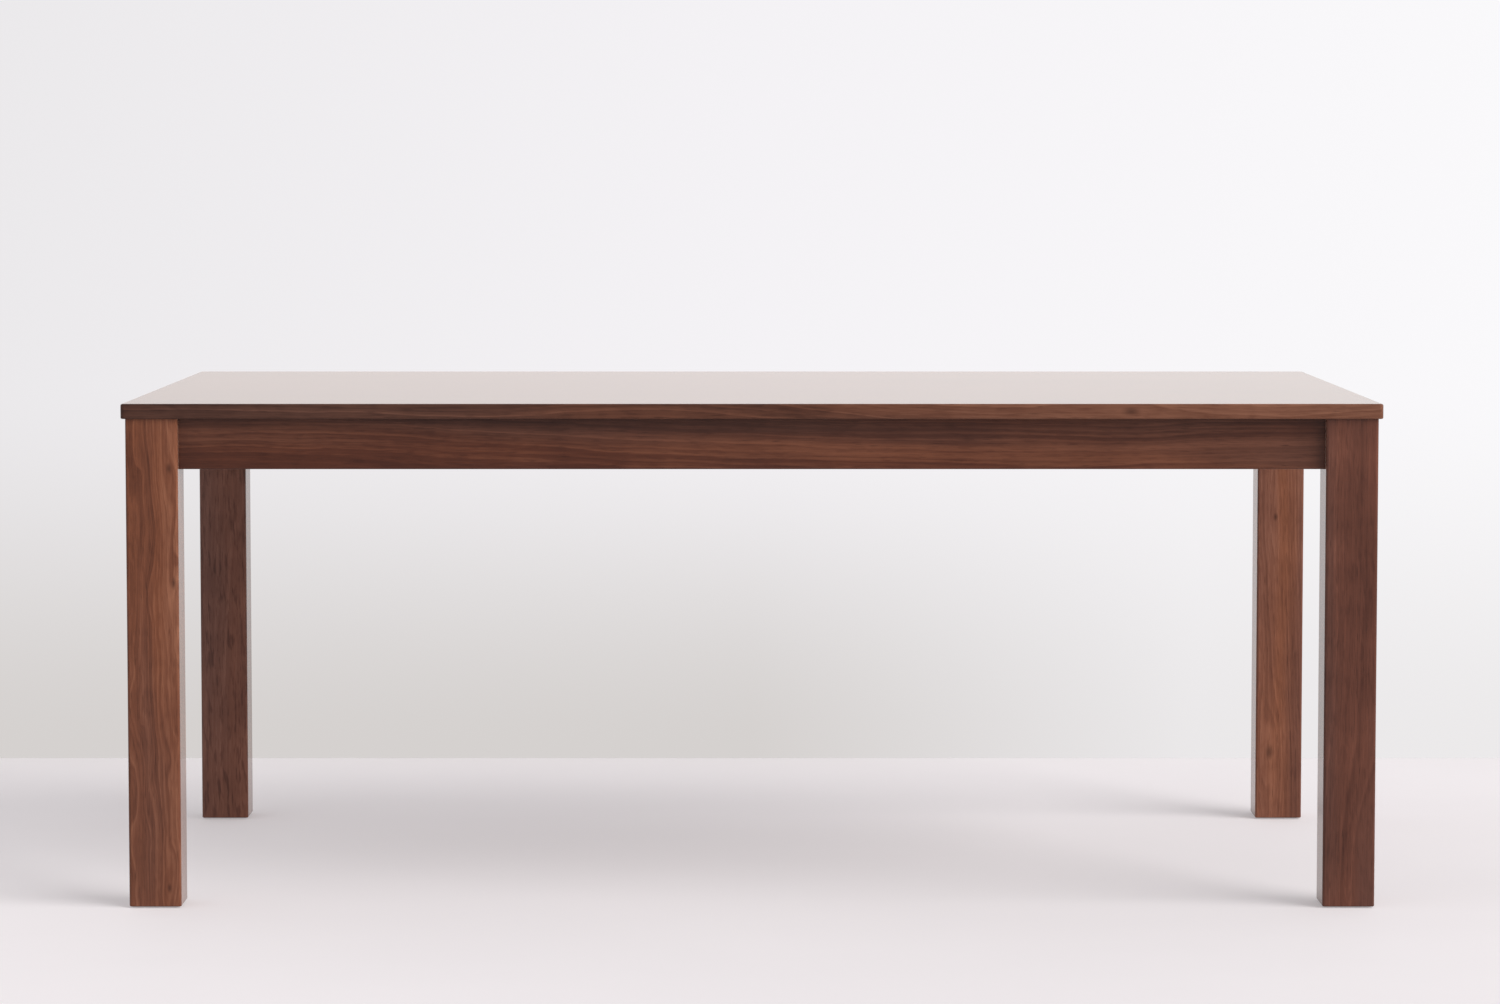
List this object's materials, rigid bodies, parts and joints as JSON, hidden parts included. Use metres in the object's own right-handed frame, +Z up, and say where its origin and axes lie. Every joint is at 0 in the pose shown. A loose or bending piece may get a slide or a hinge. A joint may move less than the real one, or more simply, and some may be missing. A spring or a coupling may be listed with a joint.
{
  "type": "parsons dining table",
  "caption": "Rectangular solid-wood dining table with square flush corner legs, slim set-back aprons and a plank top, bolted together with hanger bolts and corner blocks.",
  "frame": {"origin": "on the floor, under the middle of the top", "axes": "+X along the length to the right as seen from the front, +Y from front to back, +Z up"},
  "size_m": [1.829, 1.016, 0.737],
  "materials": {
    "walnut_top": "satin lacquer",
    "walnut_leg": "satin lacquer",
    "walnut_apron": "satin lacquer",
    "underframe_wood": "sealed, matt",
    "zinc_steel": "bright zinc plate",
    "nylon": "moulded, matt"
  },
  "bodies": {
    "root": {"top_board_1": "walnut_top", "top_board_2": "walnut_top", "top_board_3": "walnut_top", "top_board_4": "walnut_top", "top_board_5": "walnut_top", "top_board_6": "walnut_top", "top_board_7": "walnut_top", "leg_front_left": "walnut_leg", "leg_front_right": "walnut_leg", "leg_back_left": "walnut_leg", "leg_back_right": "walnut_leg", "apron_front": "walnut_apron", "apron_back": "walnut_apron", "apron_left": "walnut_apron", "apron_right": "walnut_apron", "corner_block_front_left": "underframe_wood", "corner_block_front_right": "underframe_wood", "corner_block_back_left": "underframe_wood", "corner_block_back_right": "underframe_wood", "cross_rail_left": "underframe_wood", "cross_rail_centre": "underframe_wood", "cross_rail_right": "underframe_wood", "hanger_bolts": "zinc_steel", "flat_washers": "zinc_steel", "lock_washers": "zinc_steel", "hex_nuts": "zinc_steel", "corner_block_screws": "zinc_steel", "cross_rail_screws": "zinc_steel", "top_clips": "zinc_steel", "clip_screws": "zinc_steel", "glide_nails": "zinc_steel", "foot_glide_front_left": "nylon", "foot_glide_front_right": "nylon", "foot_glide_back_left": "nylon", "foot_glide_back_right": "nylon"}
  },
  "joints": []
}
